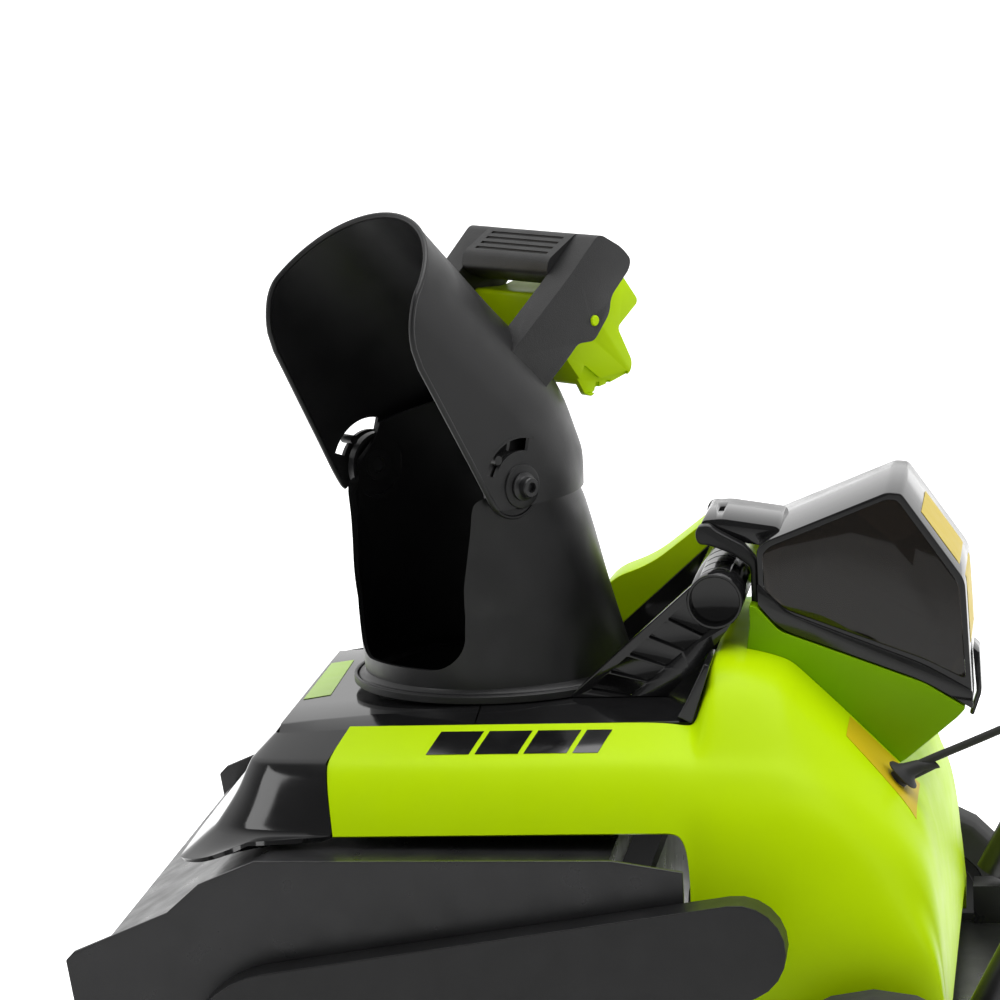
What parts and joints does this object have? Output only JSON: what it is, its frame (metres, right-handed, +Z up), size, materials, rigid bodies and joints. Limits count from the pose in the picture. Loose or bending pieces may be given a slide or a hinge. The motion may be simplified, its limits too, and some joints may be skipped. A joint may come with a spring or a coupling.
{
  "type": "cordless snow thrower",
  "caption": "Single-stage battery snow thrower with a rubber-paddle auger, turning chute, tilting deflector, folding handle, carry grip and battery box under a lid.",
  "frame": {"origin": "on the ground under the middle of the machine's footprint box", "axes": "+Z up, -Y is the front with the auger intake, +X is the machine's left"},
  "size_m": [0.572, 1.16, 1.0178],
  "materials": {
    "lime_plastic": "semi-gloss moulded lime plastic",
    "dark_lime_plastic": "semi-gloss moulded green plastic",
    "black_plastic": "satin black moulded plastic",
    "gloss_black": "gloss black moulded plastic",
    "soft_grip": "fine-textured soft grip",
    "steel": "steel",
    "zinc": "zinc plated steel",
    "rubber": "black rubber",
    "black_paint": "black powder coat",
    "smoked_clear": "smoked clear plastic",
    "red_plastic": "red moulded plastic"
  },
  "bodies": {
    "machine": {"auger_bearing_left": "zinc", "auger_bearing_right": "zinc", "auger_housing": "black_paint", "axle": "steel", "battery_terminals": "zinc", "battery_tower": "dark_lime_plastic", "belt_cover": "black_plastic", "cable": "rubber", "cable_grommet": "rubber", "carry_handle": "black_plastic", "chassis": "black_paint", "chute_collar": "black_plastic", "controller": "black_plastic", "deck_front": "gloss_black", "deck_rear": "gloss_black", "drive_belt": "rubber", "drive_hump": "lime_plastic", "front_hood": "gloss_black", "lid_hinge_pin": "zinc", "lower_tube_left": "black_paint", "lower_tube_right": "black_paint", "motor": "steel", "motor_cover": "lime_plastic", "scraper_bar": "steel", "side_cover_left": "lime_plastic", "side_cover_right": "lime_plastic", "side_plate_left": "black_paint", "side_plate_right": "black_paint"},
    "auger": {"auger_shaft": "steel", "auger_core": "black_plastic", "auger_paddle_a": "rubber", "auger_paddle_b": "rubber", "auger_pulley": "black_plastic"},
    "motor_rotor": {"motor_shaft": "zinc", "motor_pulley": "zinc"},
    "left_wheel": {"wheel_left": "black_plastic", "tyre_left": "rubber"},
    "right_wheel": {"wheel_right": "black_plastic", "tyre_right": "rubber"},
    "chute_body": {"chute": "black_plastic", "pivot_bolt_left": "steel", "pivot_bolt_right": "steel"},
    "hood": {"deflector": "black_plastic", "deflector_handle": "soft_grip", "trigger_pin": "lime_plastic"},
    "trigger_lever": {"trigger": "lime_plastic"},
    "lid": {"battery_lid": "gloss_black", "lid_window_left": "smoked_clear", "lid_window_right": "smoked_clear", "lid_latch": "gloss_black"},
    "pack": {"battery_pack": "black_plastic"},
    "pack_button": {"battery_button": "red_plastic"},
    "handle": {"upper_handle": "black_paint", "foam_grip": "soft_grip", "switch_box_top": "black_plastic", "switch_box_bottom": "black_plastic"},
    "bail": {"bail_lever": "black_paint"},
    "start": {"start_button": "lime_plastic"},
    "knob_left": {"fold_knob_left": "black_plastic"},
    "knob_right": {"fold_knob_right": "black_plastic"}
  },
  "joints": [
    {"name": "auger_spin", "type": "hinge", "parent": "machine", "child": "auger", "pos_m": [0, -0.432, 0.135], "axis": [1, 0, 0], "continuous": true},
    {"name": "motor_spin", "type": "hinge", "parent": "machine", "child": "motor_rotor", "pos_m": [0, -0.132, 0.215], "axis": [1, 0, 0], "continuous": true},
    {"name": "left_wheel_spin", "type": "hinge", "parent": "machine", "child": "left_wheel", "pos_m": [0.26, -0.047, 0.09], "axis": [1, 0, 0], "continuous": true},
    {"name": "right_wheel_spin", "type": "hinge", "parent": "machine", "child": "right_wheel", "pos_m": [-0.26, -0.047, 0.09], "axis": [1, 0, 0], "continuous": true},
    {"name": "chute_turn", "type": "hinge", "parent": "machine", "child": "chute_body", "pos_m": [0, -0.317, 0.345], "axis": [0, 0, 1], "range_deg": [-134, 38]},
    {"name": "deflector_tilt", "type": "hinge", "parent": "chute_body", "child": "hood", "pos_m": [0.03333, -0.34649, 0.488], "axis": [0.6626, 0.749, 0], "range_deg": [0, 50]},
    {"name": "trigger_squeeze", "type": "hinge", "parent": "hood", "child": "trigger_lever", "pos_m": [-0.03146, -0.28917, 0.59], "axis": [0.6626, 0.749, 0], "range_deg": [0, 7], "stiffness_Nm_per_rad": 4, "springref_deg": -8.59},
    {"name": "lid_open", "type": "hinge", "parent": "machine", "child": "lid", "pos_m": [0, -0.164, 0.445], "axis": [1, 0, 0], "range_deg": [0, 95]},
    {"name": "pack_slide", "type": "slide", "parent": "machine", "child": "pack", "axis": [0, 0.5, 0.866], "range_m": [0, 0.006]},
    {"name": "pack_button_press", "type": "slide", "parent": "pack", "child": "pack_button", "axis": [0, -0.5, -0.866], "range_m": [0, 0.0018], "stiffness_N_per_m": 400, "springref_m": -0.002},
    {"name": "handle_fold", "type": "hinge", "parent": "machine", "child": "handle", "pos_m": [0, 0.243, 0.56], "axis": [1, 0, 0], "range_deg": [0, 88]},
    {"name": "bail_squeeze", "type": "hinge", "parent": "handle", "child": "bail", "pos_m": [0, 0.4836, 0.87955], "axis": [-1, 0, 0], "range_deg": [0, 24], "stiffness_Nm_per_rad": 1.5, "springref_deg": -28.65},
    {"name": "start_press", "type": "slide", "parent": "handle", "child": "start", "axis": [0, 0, -1], "range_m": [0, 0.002], "stiffness_N_per_m": 300, "springref_m": -0.002},
    {"name": "left_knob_turn", "type": "hinge", "parent": "machine", "child": "knob_left", "pos_m": [0.2132, 0.243, 0.56], "axis": [1, 0, 0], "range_deg": [0, 360]},
    {"name": "right_knob_turn", "type": "hinge", "parent": "machine", "child": "knob_right", "pos_m": [-0.2132, 0.243, 0.56], "axis": [-1, 0, 0], "range_deg": [0, 360]}
  ],
  "couplings": [
    {"joint": "motor_spin", "follows": "auger_spin", "ratio": 3.0556}
  ]
}
